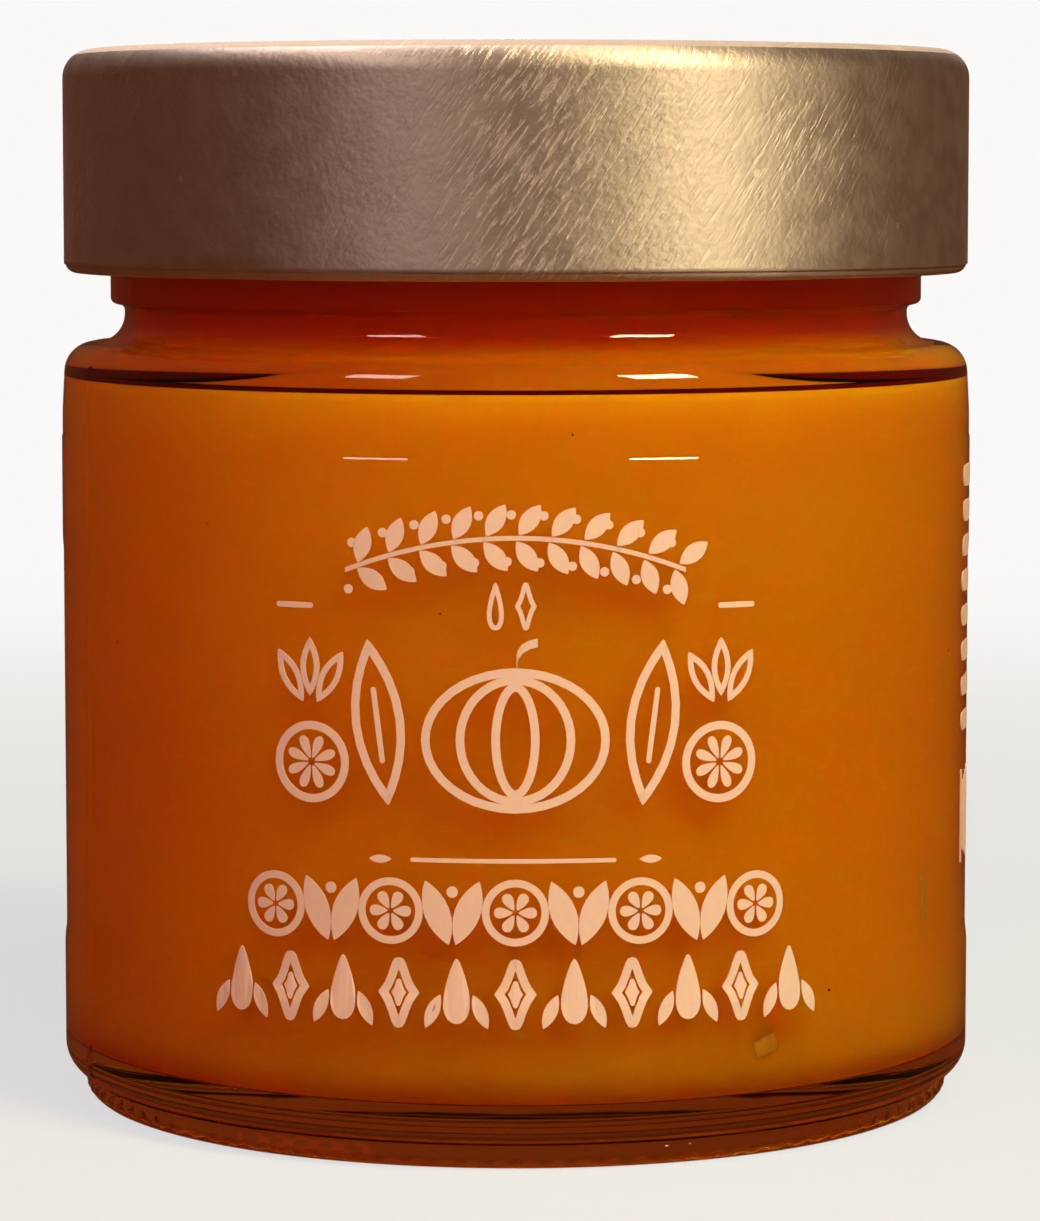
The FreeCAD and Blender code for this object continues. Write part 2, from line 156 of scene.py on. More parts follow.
class JamJarGlass(bpy.types.PropertyGroup):
    """Sizes of the glass, from the middle of its standing ring."""

    base_band: length("Lower band", "Radius above the heel", 36.045)
    top_band: length("Upper band", "Radius below the shoulder", 35.97)
    panel: length("Panel", "Radius of the printed panel", 35.9)
    base_band_height: length("Lower band top", "Height of its upper edge", 12.5)
    panel_height: length("Panel top", "Height of the panel's upper edge", 43.4)
    band_slope: length("Band slope", "Height over which a band fades", 1.1)
    ledge_height: length("Ledge", "Height of a fine ledge in the band", 52.35)
    ledge_step: length("Ledge step", "How far the wall steps in", 0.065)
    band_top: length("Upper band top", "Where the wall leans in", 54.3)
    shoulder_radius: length("Shoulder radius", "Where wall and shoulder meet", 35.62)
    shoulder_height: length("Shoulder", "Height of the shoulder", 59.7)
    shoulder_round: length("Shoulder round", "Outside round of the shoulder", 2.3)
    neck: length("Neck", "Radius under the lid", 30.95)
    neck_foot_round: length("Neck foot", "Hollow round at its foot", 2.3)
    neck_height: length("Neck top", "Height of its upper end", 62.6)
    bead: length("Bead", "Radius of the bead", 32.05)
    bead_slope: length("Bead slope", "Rise of its underside", 0.25)
    bead_round: length("Bead round", "Rounds of its underside", 0.45)
    bead_depth: length("Bead depth", "Height of the bead", 2.9)
    finish: length("Finish", "Radius of the glass inside the lid", 31.7)
    lip_round: length("Lip", "Rounds of the rim", 0.9)
    ring: length("Standing ring", "Outside radius", 34.25)
    ring_height: length("Ring height", "Its height", 1.9)
    ring_width: length("Ring width", "Its width", 2.4)
    ring_round: length("Ring round", "Its lower round", 1.0)
    notch: length("Notch", "Radius of the groove over the ring", 33.8)
    heel_height: length("Heel", "Where heel and wall meet", 2.35)
    heel_round: length("Heel round", "Outside round of the heel", 2.3)
    wall: length("Wall", "Thickness at the lower band", 3.15)
    floor: length("Inner floor", "Lowest ring of the floor", 4.4)
    floor_centre: length("Inner floor centre", "Height of the floor at its centre", 5.6)
    floor_round: length("Inner floor round", "Round between floor and wall", 2.8)
    under_shoulder: length("Under the shoulder", "Height of its underside", 56.8)
    under_rise: length("Underside rise", "How far it climbs to the bore", 0.2)
    under_shoulder_round: length("Inner corner", "Round under the shoulder", 0.5)
    inner_neck_round: length("Inner neck", "Round up to the bore", 1.2)
    bore: length("Bore", "Radius of the mouth", 28.3)
    push_up: length("Push-up", "Rise of the base at its centre", 2.2)
    knurls: number("Knurls", "Bumps round the standing ring", 104)
    knurl_rise: length("Knurl rise", "How far each bump stands out", 0.17)
    seam: angle("Seam", "Azimuth of one seam; one is opposite", -66.3)
    seam_rise: length("Seam rise", "How far a seam stands out", 0.17)


class JamJarLid(bpy.types.PropertyGroup):
    """Sizes of the lid."""

    sheet: length("Sheet", "Thickness of the tinplate", 0.3)
    edge_round: length("Edge round", "Outside round of the top edge", 2.2)
    recess: length("Recess", "Depth of the recessed panel", 0.95)
    recess_slope: length("Recess slope", "Width of the slope to the panel", 1.1)
    recess_round: length("Recess round", "Rounds of that slope", 0.8)
    button: length("Button", "Radius of the safety button's flat", 11.0)
    button_depth: length("Button depth", "How far it is drawn down", 0.28)
    button_slope: length("Button slope", "Width of the button's slope", 2.4)
    button_round: length("Button round", "Rounds of the button", 3.0)
    mouth_gap: length("Mouth gap", "From the bore to the panel", 0.7)
    curl: length("Curl", "Radius of the rolled rim", 0.8)
    curl_inset: length("Curl inset", "Step from skirt to rolled rim", 0.12)
    hem: length("Hem", "Rim that shows below the skirt", 0.62)
    lugs: number("Lugs", "Lugs round the rim", 4)
    first_lug: angle("First lug", "Azimuth of the first lug", 51.0)
    lug_width: angle("Lug width", "Width of each lug and its dent", 24.0)
    lug_reach: length("Lug reach", "How far a lug reaches in", 1.2)
    dent: length("Dent", "Depth outside each lug", 0.34)
    dent_height: length("Dent height", "Height of that dent", 1.6)


class JamJarPrint(bpy.types.PropertyGroup):
    """Sizes of the enamel print."""

    thickness: length("Thickness", "How far it stands proud", 0.045)
    sink: length("Sink", "How far it bites into the glass", 0.015)
    line: length("Line", "Width of the drawn lines", 0.62)
    fine_line: length("Fine line", "Width of the finest lines", 0.34)
    strip: length("Strip", "Widest facet of the print", 0.7)


class JamJarColours(bpy.types.PropertyGroup):
    """Colours of the finishes."""

    jam: colour("Jam", "Set jam in good light", "FB9C05")
    jam_deep: colour("Jam, deep", "Denser, redder pulp", "EE7E02")
    jam_pale: colour("Jam, pale", "Paler shreds of pulp", "FDB41C")
    # Painted shade: the almost black red painted into the jam's glancing mirror under the
    # shoulder.
    jam_painted_shade: colour("Jam, dark", "The dark line under the shoulder", "761006")
    # Painted shade: the redder colour painted on the jam in the neck, where the lid shades it.
    jam_neck_painted_shade: colour("Jam, neck", "Redder jam in the thick neck", "F05204")
    peel: colour("Peel", "Candied clementine peel", "F0B030")
    speck: colour("Speck", "Pale specks of pulp", "F2A850")
    dark_speck: colour("Dark speck", "Dark specks", "3A0802")
    lacquer: colour("Lacquer", "Satin silver lacquer on tinplate", "E4DCD4")
    enamel: colour("Enamel", "White printing enamel", "ECD2DE")
    enamel_edge: colour("Enamel edge", "Cream where the enamel is thin", "F0D8CC")
    floor: colour("Floor", "Pale studio floor", "6E7680")


def values(group):
    """One of the property groups of the scene."""
    return getattr(bpy.context.scene, f"jam_jar_{group}")


# ---- outlines ----

def rounded(corners, bend=math.radians(8), chord=0.28 * MM):
    """Points of an outline of straight runs, with each round drawn as short chords.

    Each corner is (radius, height, round), and a round of 0 leaves it sharp. A round takes as
    many chords as its bend asks for, but none much shorter than the chord.
    """
    points = []
    for index, (across, up, size) in enumerate(corners):
        corner = Vector((across, up))
        if size == 0:
            points.append(corner)
            continue
        back = (Vector(corners[index - 1][:2]) - corner).normalized()
        ahead = (Vector(corners[index + 1][:2]) - corner).normalized()
        half = back.angle(ahead) / 2
        centre = corner + (back + ahead).normalized() * (size / math.sin(half))
        start = corner + back * (size / math.tan(half)) - centre
        sweep = start.angle_signed(corner + ahead * (size / math.tan(half)) - centre)
        chords = math.ceil(min(abs(sweep) / bend, max(2, abs(sweep) * size / chord)))
        for step in range(chords + 1):
            turn = Matrix.Rotation(-sweep * step / chords, 2)
            points.append(centre + turn @ start)
    return points


def lip_height():
    """Height of the glass's rim, just under the sheet of the lid."""
    return LID_TOP - values("lid").sheet - 0.05 * MM


def glass_outside():
    """Outline of the glass from the middle of its base to the rim's outer edge."""
    glass = values("glass")
    ring_inside = glass.ring - glass.ring_width
    ledge = glass.top_band - glass.ledge_step
    bead_top = glass.neck_height + glass.bead_depth
    return [
        (0, glass.push_up, 0),
        (ring_inside, 1.2 * MM, SOFT),
        (ring_inside, 0, SOFT),
        (glass.ring, 0, glass.ring_round),
        (glass.ring, glass.ring_height, SOFT),
        (glass.notch, glass.ring_height, 0.06 * MM),
        (glass.base_band, glass.heel_height, glass.heel_round),
        (glass.base_band, glass.base_band_height, BAND_ROUND),
        (glass.panel, glass.base_band_height + glass.band_slope, BAND_ROUND),
        (glass.panel, glass.panel_height, BAND_ROUND),
        (glass.top_band, glass.panel_height + glass.band_slope, BAND_ROUND),
        (glass.top_band, glass.ledge_height, SHARP),
        (ledge, glass.ledge_height + 0.13 * MM, SHARP),
        (ledge, glass.band_top, LEAN_ROUND),
        (glass.shoulder_radius, glass.shoulder_height, glass.shoulder_round),
        (glass.neck, glass.shoulder_height, glass.neck_foot_round),
        (glass.neck, glass.neck_height, glass.bead_round),
        (glass.bead, glass.neck_height + glass.bead_slope, glass.bead_round),
        (glass.bead, bead_top, CRISP),
        (glass.finish, bead_top + 0.35 * MM, CRISP),
        (glass.finish, lip_height(), glass.lip_round),
    ]


def glass_inside(top, gap=0.0):
    """Outline of the hollow, from the top down to the middle of the floor, or gap outside it."""
    glass = values("glass")
    bore = glass.bore + gap
    side = glass.base_band - glass.wall + gap
    under = glass.under_shoulder + gap
    return [
        (bore, top, glass.lip_round),
        (bore, under + glass.under_rise, glass.inner_neck_round - gap),
        (side, under, glass.under_shoulder_round + gap),
        (side, glass.floor - gap, glass.floor_round + gap),
        (0, glass.floor_centre - gap, 0),
    ]


def glass_outline():
    """The whole outline of the glass, outside and inside."""
    return rounded(glass_outside() + glass_inside(lip_height()))


def wall_radius(outline, height):
    """Radius of the outside wall at a height, between the base and the shoulder."""
    for low, high in zip(outline, outline[1:]):
        if low.y <= height <= high.y and low.x > 30 * MM:
            share = (height - low.y) / max(high.y - low.y, 1e-9)
            return low.x + (high.x - low.x) * share
    return values("glass").panel


# ---- modelling steps ----

def deselect():
    """Leave nothing selected, so that the next operator acts on its own piece alone."""
    for other in bpy.context.view_layer.objects.selected[:]:
        other.select_set(False)


def activate(piece):
    """Select one piece, and only that piece, for the next operator."""
    deselect()
    piece.select_set(True)
    bpy.context.view_layer.objects.active = piece


def edit(piece):
    """Open one piece, and only that piece, in edit mode."""
    activate(piece)
    bpy.ops.object.mode_set(mode="EDIT")


def done(piece):
    """Leave edit mode with nothing selected."""
    bpy.ops.object.mode_set(mode="OBJECT")
    piece.select_set(False)
    return piece


def added(kind, **settings):
    """A new primitive, alone and selected."""
    deselect()
    getattr(bpy.ops.mesh, f"primitive_{kind}_add")(**settings)
    return bpy.context.object


def placed(name, data):
    """A mesh, lamp or camera, put into the scene."""
    thing = bpy.data.objects.new(name, data)
    bpy.context.scene.collection.objects.link(thing)
    return thing


def modified(piece, name, kind, **settings):
    """Add a modifier with these settings, and apply it."""
    modifier = piece.modifiers.new(name, kind)
    for option, choice in settings.items():
        setattr(modifier, option, choice)
    activate(piece)
    bpy.ops.object.modifier_apply(modifier=name)
    piece.select_set(False)
    return piece


def turned(name, outline, columns):
    """A solid of revolution: a point is drawn out along the outline, which is turned about Z."""
    piece = added("plane", size=MM)
    piece.name = piece.data.name = name
    edit(piece)
    bpy.ops.mesh.merge(type="CENTER")
    bpy.ops.transform.translate(value=(outline[0].x, 0, outline[0].y))
    for before, after in zip(outline, outline[1:]):
        step = (after.x - before.x, 0, after.y - before.y)
        bpy.ops.mesh.extrude_region_move(TRANSFORM_OT_translate={"value": step})
    bpy.ops.object.mode_set(mode="OBJECT")
    modified(piece, "turn", "SCREW", axis="Z", angle=math.tau, steps=columns,
             render_steps=columns, use_merge_vertices=True, merge_threshold=0.002 * MM,
             use_smooth_shade=True)
    edit(piece)
    bpy.ops.mesh.select_all(action="SELECT")
    bpy.ops.mesh.normals_make_consistent(inside=False)
    return done(piece)


def reshape(piece, rule):
    """Move every point of a piece where the rule says."""
    for point in piece.data.vertices:
        point.co = rule(point.co.copy())
    piece.data.update()
    return piece


def settle(piece):
    """Let broad faces decide the shading, so that a fine round beside one stays crisp."""
    return modified(piece, "shading", "WEIGHTED_NORMAL")


def azimuth_of(place):
    """Azimuth of a point, from the front towards +X."""
    return math.atan2(place.x, -place.y)


def radially(place, change):
    """The point moved outwards by a distance."""
    radius = math.hypot(place.x, place.y)
    if radius < MM:
        return place
    share = (radius + change) / radius
    return Vector((place.x * share, place.y * share, place.z))


def swell(offset, half_width):
    """A smooth bump: 1 in the middle, and 0 from the half width out."""
    share = min(abs(offset) / half_width, 1)
    return (1 - share * share) ** 2


def apart(first, second):
    """Smallest angle between two azimuths."""
    return abs((first - second + math.pi) % math.tau - math.pi)


def from_lug(azimuth):
    """Angle to the nearest lug of the lid."""
    lid = values("lid")
    return min(apart(azimuth, lid.first_lug + math.tau * count / lid.lugs)
               for count in range(lid.lugs))


def finish(piece, material, slot):
    """Give a finished piece its material and its body. The slot is not used."""
    piece.data.materials.clear()
    piece.data.materials.append(material)
    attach(piece, "root")
    return piece


# ---- materials ----

def add_node(tree, kind, inputs=(), **settings):
    """Add a node, set its options, and set or link its inputs."""
    node = tree.nodes.new(f"ShaderNode{kind}")
    for option, choice in settings.items():
        setattr(node, option, choice)
    for key, value in dict(inputs).items():
        socket = node.inputs[key]
        if isinstance(value, bpy.types.NodeSocket):
            tree.links.new(value, socket)
        else:
            socket.default_value = (*value, 1) if socket.type == "RGBA" else value
    return node


def new_material(name):
    """A material with an empty node tree."""
    material = bpy.data.materials.new(name)
    material.use_nodes = True
    material.node_tree.nodes.clear()
    return material, material.node_tree


def surface(tree, shader, kind="Material"):
    """Make a shader the surface that the tree puts out."""
    add_node(tree, f"Output{kind}", {"Surface": shader.outputs[0]})


def object_place(tree):
    """Object coordinates, in metres."""
    return add_node(tree, "TexCoord").outputs["Object"]


def grain(tree, place, size, detail=2.0, roughness=0.5, kind="FBM"):
    """Noise whose blotches are about this size in metres."""
    return add_node(tree, "TexNoise", {"Vector": place, "Scale": 1 / size, "Detail": detail,
                                       "Roughness": roughness}, noise_type=kind).outputs["Fac"]


def ramp(tree, factor, low, high, start=0.0, end=1.0):
    """Clamped change from start to end as the factor goes from low to high."""
    return add_node(tree, "MapRange", {"Value": factor, "From Min": low, "From Max": high,
                                       "To Min": start, "To Max": end},
                    interpolation_type="SMOOTHSTEP").outputs["Result"]


def blend(tree, factor, first, second):
    """One colour mixed into another."""
    return add_node(tree, "Mix", {0: factor, 6: first, 7: second}, data_type="RGBA").outputs[2]


def mixed(tree, factor, first, second):
    """One shader mixed into another."""
    return add_node(tree, "MixShader", {0: factor, 1: first.outputs[0], 2: second.outputs[0]})


def maths(tree, operation, first, second):
    """Two values worked into one."""
    return add_node(tree, "Math", {0: first, 1: second}, operation=operation).outputs[0]


def bump(tree, height, strength, distance, **under):
    """The shading of a relief, over another relief where there is one."""
    return add_node(tree, "Bump", {"Height": height, "Strength": strength,
                                   "Distance": distance, **under}).outputs["Normal"]


def toned(tint, share):
    """A colour with its brightness changed by a share, and no brighter than white."""
    return [min(1, shade * share) for shade in tint]


def soda_glass():
    """Blown soda-lime glass: clear and glossy, its skin very slightly uneven from the mould."""
    material, tree = new_material("blown_soda_glass")
    waves = grain(tree, object_place(tree), 9 * MM, 1.5)
    surface(tree, add_node(tree, "BsdfPrincipled", {
        "Base Color": (0.985, 0.992, 0.985), "Roughness": 0.0, "IOR": 1.52,
        "Transmission Weight": 1.0, "Normal": bump(tree, waves, 0.25, 0.05 * MM)}))
    return material


def soft_fruit(tree, base, weight, radius, scale):
    """A shader for wet fruit: light soaks in and wanders, and the surface has no gloss."""
    return add_node(tree, "BsdfPrincipled", {
        "Base Color": base, "Roughness": 0.3, "IOR": 1.4, "Specular IOR Level": 0.0,
        "Subsurface Weight": weight, "Subsurface Radius": radius, "Subsurface Scale": scale},
        subsurface_method="BURLEY")


def set_jam():
    """Sieved squash jam: translucent, so light wanders in it and comes out red.

    Shreds and pulp break up its colour. It is painted paler towards the top, as painted light,
    and redder in the neck, as painted shade under the lid. Against the glass it has no gloss:
    its index is just under that of the glass, so it only mirrors at a glancing angle, and that
    mirror is painted almost black red in the flat ring under the shoulder, as painted shade.
    """
    colours = values("colours")
    material, tree = new_material("set_squash_jam")
    place = object_place(tree)
    height = add_node(tree, "SeparateXYZ", {0: place}).outputs["Z"]
    stretched = add_node(tree, "Mapping", {"Vector": place, "Scale": (1, 1, 3.5)}).outputs[0]
    clouds = ramp(tree, grain(tree, place, 22 * MM, 2.0), 0.25, 0.75, 0.55, 1.0)
    shreds = ramp(tree, grain(tree, stretched, 2.6 * MM, 3.0, 0.65), 0.58, 0.74, 0.0, 0.3)
    pulp = ramp(tree, grain(tree, place, 0.9 * MM, 2.0, 0.6), 0.45, 0.75)
    # Painted light: the jam is painted paler towards the top.
    painted_top_light = ramp(tree, height, *PAINTED_LIGHT_JAM, 0.0, 0.3)
    # Painted shade: the jam is painted redder in the neck, where the lid shades it, and not
    # because it is thicker there.
    thick = ramp(tree, height, *PAINTED_SHADE_NECK, 0.0, 0.85)
    base = blend(tree, clouds, colours.jam_deep, colours.jam)
    base = blend(tree, shreds, base, colours.jam_pale)
    base = blend(tree, maths(tree, "MULTIPLY", pulp, 0.16), base, colours.jam_pale)
    base = blend(tree, painted_top_light, base, colours.jam_pale)
    base = blend(tree, thick, base, colours.jam_neck_painted_shade)
    body = soft_fruit(tree, base, 1.0, (1.0, 0.16, 0.03), 15 * MM)
    # Painted shade: the glancing mirror is painted almost black red in the ring under the
    # shoulder.
    ring = maths(tree, "MULTIPLY", ramp(tree, height, *PAINTED_SHADE_FOOT),
                 ramp(tree, height, *PAINTED_SHADE_HEAD, 1.0, 0.0))
    tint = blend(tree, ring, (1, 1, 1), colours.jam_painted_shade)
    mirror = add_node(tree, "BsdfGlossy", {"Color": tint, "Roughness": 0.03})
    glance = add_node(tree, "Fresnel", {"IOR": 0.97}).outputs[0]
    surface(tree, mixed(tree, glance, body, mirror))
    return material


def wet_bit(name, tint, radius, scale):
    """A bit of fruit in the jam, as wet as the jam, with light soaking a little way in."""
    material, tree = new_material(name)
    tone = ramp(tree, grain(tree, object_place(tree), 0.5 * MM), 0.3, 0.7, 0.0, 0.4)
    surface(tree, soft_fruit(tree, blend(tree, tone, tint, toned(tint, 0.6)), 0.6, radius, scale))
    return material


def scuffs(tree, place):
    """Scratches in the lid's lacquer, and scratches with chips.

    They lie slanted where a hand has gripped the skirt in front, and in random patches.
    """
    wrap = add_node(tree, "UVMap", uv_map="wrap").outputs["UV"]
    slanted = add_node(tree, "Mapping", {
        "Vector": wrap, "Rotation": (0, 0, SCRATCH_SLANT), "Scale": (1, SCRATCH_STRETCH, 1)},
        vector_type="TEXTURE").outputs[0]
    scratches = ramp(tree, grain(tree, slanted, 0.3 * MM, 3.0, 0.6), 0.5, 0.66)
    along = add_node(tree, "SeparateXYZ", {0: wrap}).outputs["X"]
    gripped = maths(tree, "MULTIPLY", ramp(tree, along, *GRIP_LEFT),
                    ramp(tree, along, *GRIP_RIGHT, 1.0, 0.0))
    patches = ramp(tree, grain(tree, place, 11 * MM, 2.0), 0.48, 0.66, 0.0, 0.5)
    scratches = maths(tree, "MULTIPLY", scratches, maths(tree, "MAXIMUM", gripped, patches))
    cells = add_node(tree, "TexVoronoi", {"Vector": place, "Scale": 1 / CHIP_SPACING})
    chips = ramp(tree, cells.outputs["Distance"], 0.035, 0.05, 1.0, 0.0)
    return scratches, maths(tree, "MAXIMUM", scratches, chips)


def satin_lacquer(name, stretch, rough):
    """Silver lacquer on tinplate: a soft metal sheen over fine orange peel, lightly scuffed.

    The drawn skirt stretches its sheen upwards. The flat top does not, and is more matt.
    """
    lacquer = values("colours").lacquer
    material, tree = new_material(name)
    place = object_place(tree)
    peel = grain(tree, place, 0.55 * MM, 2.0)
    mottle = ramp(tree, grain(tree, place, 2.2 * MM, 4.0), 0.3, 0.7)
    scratches, worn = scuffs(tree, place)
    height = maths(tree, "ADD", maths(tree, "MULTIPLY", scratches, -0.8), peel)
    waves = bump(tree, grain(tree, place, 14 * MM, 1.0), 0.6, 0.22 * MM)
    base = blend(tree, mottle, toned(lacquer, 0.93), lacquer)
    surface(tree, add_node(tree, "BsdfPrincipled", {
        "Base Color": blend(tree, worn, base, toned(lacquer, 1.3)), "Metallic": 1.0,
        "Roughness": ramp(tree, mottle, 0.0, 1.0, rough, rough + 0.05),
        "Anisotropic": stretch, "Anisotropic Rotation": SHEEN_TURN,
        "Normal": bump(tree, height, 0.6, 0.06 * MM, Normal=waves)}))
    return material


def fired_enamel():
    """Ceramic enamel, screen printed and fired: matt off-white, cream where it lies thin."""
    colours = values("colours")
    material, tree = new_material("fired_white_enamel")
    place = object_place(tree)
    thin = ramp(tree, grain(tree, place, 0.7 * MM, 3.0), 0.35, 0.7, 0.0, 0.8)
    surface(tree, add_node(tree, "BsdfPrincipled", {
        "Base Color": blend(tree, thin, colours.enamel, colours.enamel_edge),
        "Roughness": 0.5, "IOR": 1.5,
        "Normal": bump(tree, grain(tree, place, 0.12 * MM), 0.3, 0.01 * MM)}))
    return material


def studio_floor():
    """Pale matt card, which fades out into the backdrop well away from the jar."""
    floor = values("colours").floor
    material, tree = new_material("pale_matt_card")
    place = object_place(tree)
    reach = add_node(tree, "VectorMath", {0: place}, operation="LENGTH").outputs["Value"]
    tone = ramp(tree, grain(tree, place, 3 * MM), 0.3, 0.7, 0.0, 0.3)
    base = blend(tree, tone, floor, toned(floor, 0.97))
    matt = add_node(tree, "BsdfDiffuse", {"Color": base})
    glow = add_node(tree, "Emission", {"Color": (0.97, 0.985, 1.0), "Strength": 0.66})
    card = add_node(tree, "AddShader", {0: matt.outputs[0], 1: glow.outputs[0]})
    clear = add_node(tree, "BsdfTransparent")
    surface(tree, mixed(tree, ramp(tree, reach, *CARD_FADE), card, clear))
    return material


# ---- glass, jam and lid ----

class JAMJAR_OT_glass(bpy.types.Operator):
    """Turn the glass jar, with its mould seams, the bumps on its ring and its thread ridges"""

    bl_idname = "jamjar.glass"
    bl_label = "Glass"

    def execute(self, context):
        glass = values("glass")
        piece = turned("glass_shell", glass_outline(), glass.knurls * KNURL_COLUMNS)
        pitch = math.tau / glass.knurls
        wall_inside = glass.base_band - glass.wall + 0.3 * MM
        neck_inside = glass.bore + 1.2 * MM

        def rule(place):
            azimuth = azimuth_of(place)
            radius = math.hypot(place.x, place.y)
            below = place.z < glass.shoulder_height - 2 * MM
            outside = radius > (wall_inside if below else neck_inside)
            rise = 0.0
            if outside and glass.ring_height < place.z < LID_FOOT:
                side = min(apart(azimuth, glass.seam), apart(azimuth, glass.seam + math.pi))
                rise += glass.seam_rise * swell(side, SEAM_HALF)
            if radius > glass.ring - 0.5 * MM and place.z < glass.ring_height:
                height = swell(place.z - glass.ring_round, KNURL_HALF)
                side = apart(azimuth % pitch, pitch / 2)
                rise += glass.knurl_rise * height * swell(side, pitch * KNURL_SHARE)
            if radius > glass.finish - 0.2 * MM \
                    and RIDGE_FOOT < place.z < RIDGE_FOOT + RIDGE_HEIGHT:
                rise += RIDGE_REACH * (from_lug(azimuth) < RIDGE_HALF)
            return radially(place, rise)

        settle(reshape(piece, rule))
        finish(piece, soda_glass(), "clear_glass")
        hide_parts("glass_jar")
        return {"FINISHED"}


class JAMJAR_OT_jam(bpy.types.Operator):
    """Fill the jar: the jam reaches just into the glass, so that no air shows between them"""

    bl_idname = "jamjar.jam"
    bl_label = "Jam"

    reach: length("Reach", "How far the jam reaches into the wall", 0.1)

    def execute(self, context):
        top = JAM_BOX[1].z
        side = [point for point in rounded(glass_inside(LID_TOP, self.reach)) if point.y < top]
        level = [Vector((across, top)) for across in (
            0, side[0].x - 2.5 * MM, side[0].x - 0.8 * MM, side[0].x)]
        piece = turned("jam_fill", level + side, JAM_COLUMNS)
        settle(piece)
        finish(piece, set_jam(), "squash_jam")
        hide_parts("jam")
        return {"FINISHED"}


def lid_outline():
    """Outline of the sheet, over the top, round the rolled rim, and back inside."""
    lid = values("lid")
    panel = LID_TOP - lid.recess
    button = panel - lid.button_depth
    edge = values("glass").bore - lid.mouth_gap
    slope_foot = edge - lid.recess_slope
    rim = lid.button + lid.button_slope
    hem = LID_FOOT + lid.hem
    under_top = LID_TOP - lid.sheet
    under_panel = panel - lid.sheet
    under_button = button - lid.sheet
    inner = LID_RADIUS - lid.sheet
    over = [
        (0, button, 0), (lid.button, button, lid.button_round), (rim, panel, lid.button_round),
        (slope_foot, panel, lid.recess_round), (edge, LID_TOP, lid.recess_round + lid.sheet),
        (LID_RADIUS, LID_TOP, lid.edge_round), (LID_RADIUS, hem + CRISP, 0),
        (LID_RADIUS - CRISP, hem, 0),
    ]
    curl = [(curl_middle() + lid.curl * math.cos(turn),
             LID_FOOT + lid.curl + lid.curl * math.sin(turn), 0)
            for turn in (math.radians(-6 - 12 * step) for step in range(23))]
    under = [
        (inner, LID_FOOT + 2 * lid.curl + 0.2 * MM, 0),
        (inner, under_top, lid.edge_round - lid.sheet), (edge, under_top, lid.recess_round),
        (slope_foot, under_panel, lid.recess_round + lid.sheet),
        (rim, under_panel, lid.button_round), (lid.button, under_button, lid.button_round),
        (0, under_button, 0),
    ]
    return over + curl + under


def curl_middle():
    """Radius of the middle of the rolled rim."""
    lid = values("lid")
    return LID_RADIUS - lid.curl_inset - lid.curl


def add_levels(outline, low, high, spacing):
    """Extra points on the upright runs between two heights, so that they can be dented."""
    points = []
    for before, after in zip(outline, outline[1:]):
        points.append(before)
        rise = after.y - before.y
        if abs(rise) > spacing and min(before.y, after.y) >= low - 1e-6:
            steps = math.ceil(abs(rise) / spacing)
            points += [before.lerp(after, step / steps) for step in range(1, steps)
                       if before.lerp(after, step / steps).y < high]
    return points + [outline[-1]]


def wrap_map(piece):
    """A UV map in metres: arc length and height on the skirt, and a plain plan on the top."""
    layer = piece.data.uv_layers.new(name="wrap")
    for face in piece.data.polygons:
        middle = azimuth_of(face.center)
        for loop in face.loop_indices:
            place = piece.data.vertices[piece.data.loops[loop].vertex_index].co
            if face.material_index:
                layer.data[loop].uv = (place.x + 4 * LID_RADIUS, place.y)
                continue
            azimuth = azimuth_of(place)
            azimuth += math.tau * round((middle - azimuth) / math.tau)
            layer.data[loop].uv = (azimuth * LID_RADIUS, place.z)


class JAMJAR_OT_lid(bpy.types.Operator):
    """Form the lid: recessed panel, button, deep skirt, rolled rim and pressed lugs"""

    bl_idname = "jamjar.lid"
    bl_label = "Lid"

    def execute(self, context):
        lid = values("lid")
        outline = add_levels(rounded(lid_outline()), LID_FOOT, LID_FOOT + HEM_ZONE, 0.25 * MM)
        piece = turned("lid_shell", outline, LID_COLUMNS)
        middle = curl_middle()

        def rule(place):
            if place.z > LID_FOOT + HEM_ZONE:
                return place
            width = swell(from_lug(azimuth_of(place)), lid.lug_width * 0.55)
            if math.hypot(place.x, place.y) > middle:
                share = max(0.0, 1 - (place.z - LID_FOOT) / lid.dent_height)
                return radially(place, -lid.dent * width * min(1.0, 1.6 * share))
            low = swell(place.z - LID_FOOT - lid.curl * 0.6, lid.curl * 1.1)
            return radially(place, -lid.lug_reach * min(1.0, 1.5 * width) * low)

        settle(reshape(piece, rule))
        finish(piece, satin_lacquer("satin_silver_lacquer", *SKIRT_SHEEN), "lid_tinplate")
        piece.data.materials.append(satin_lacquer("satin_silver_lacquer_top", *TOP_SHEEN))
        for face in piece.data.polygons:
            face.material_index = int(abs(face.normal.z) > TOP_FACING)
        wrap_map(piece)
        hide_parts("lid")
        return {"FINISHED"}


# ---- bits in the jam ----

def joined(parts, name):
    """Several pieces joined into one, with its place in its mesh."""
    deselect()
    for part in parts:
        part.select_set(True)
    bpy.context.view_layer.objects.active = parts[0]
    bpy.ops.object.join()
    bpy.ops.object.transform_apply()
    piece = bpy.context.object
    piece.name = piece.data.name = name
    piece.select_set(False)
    return piece


def lay(model, name, azimuth, height, size, spin, sink):
    """Lay a flattened bit against the inside of the glass, sunk into the jam."""
    glass = values("glass")
    radius = glass.base_band - glass.wall + 0.1 * MM - sink
    place = Vector((radius * math.sin(azimuth), -radius * math.cos(azimuth), height))
    piece = placed(name, model.data.copy())
    piece.matrix_world = Matrix.Translation(place) @ Matrix.Rotation(azimuth, 4, "Z") \
        @ Matrix.Rotation(spin, 4, "Y") @ Matrix.Diagonal((*size, 1))
    return piece


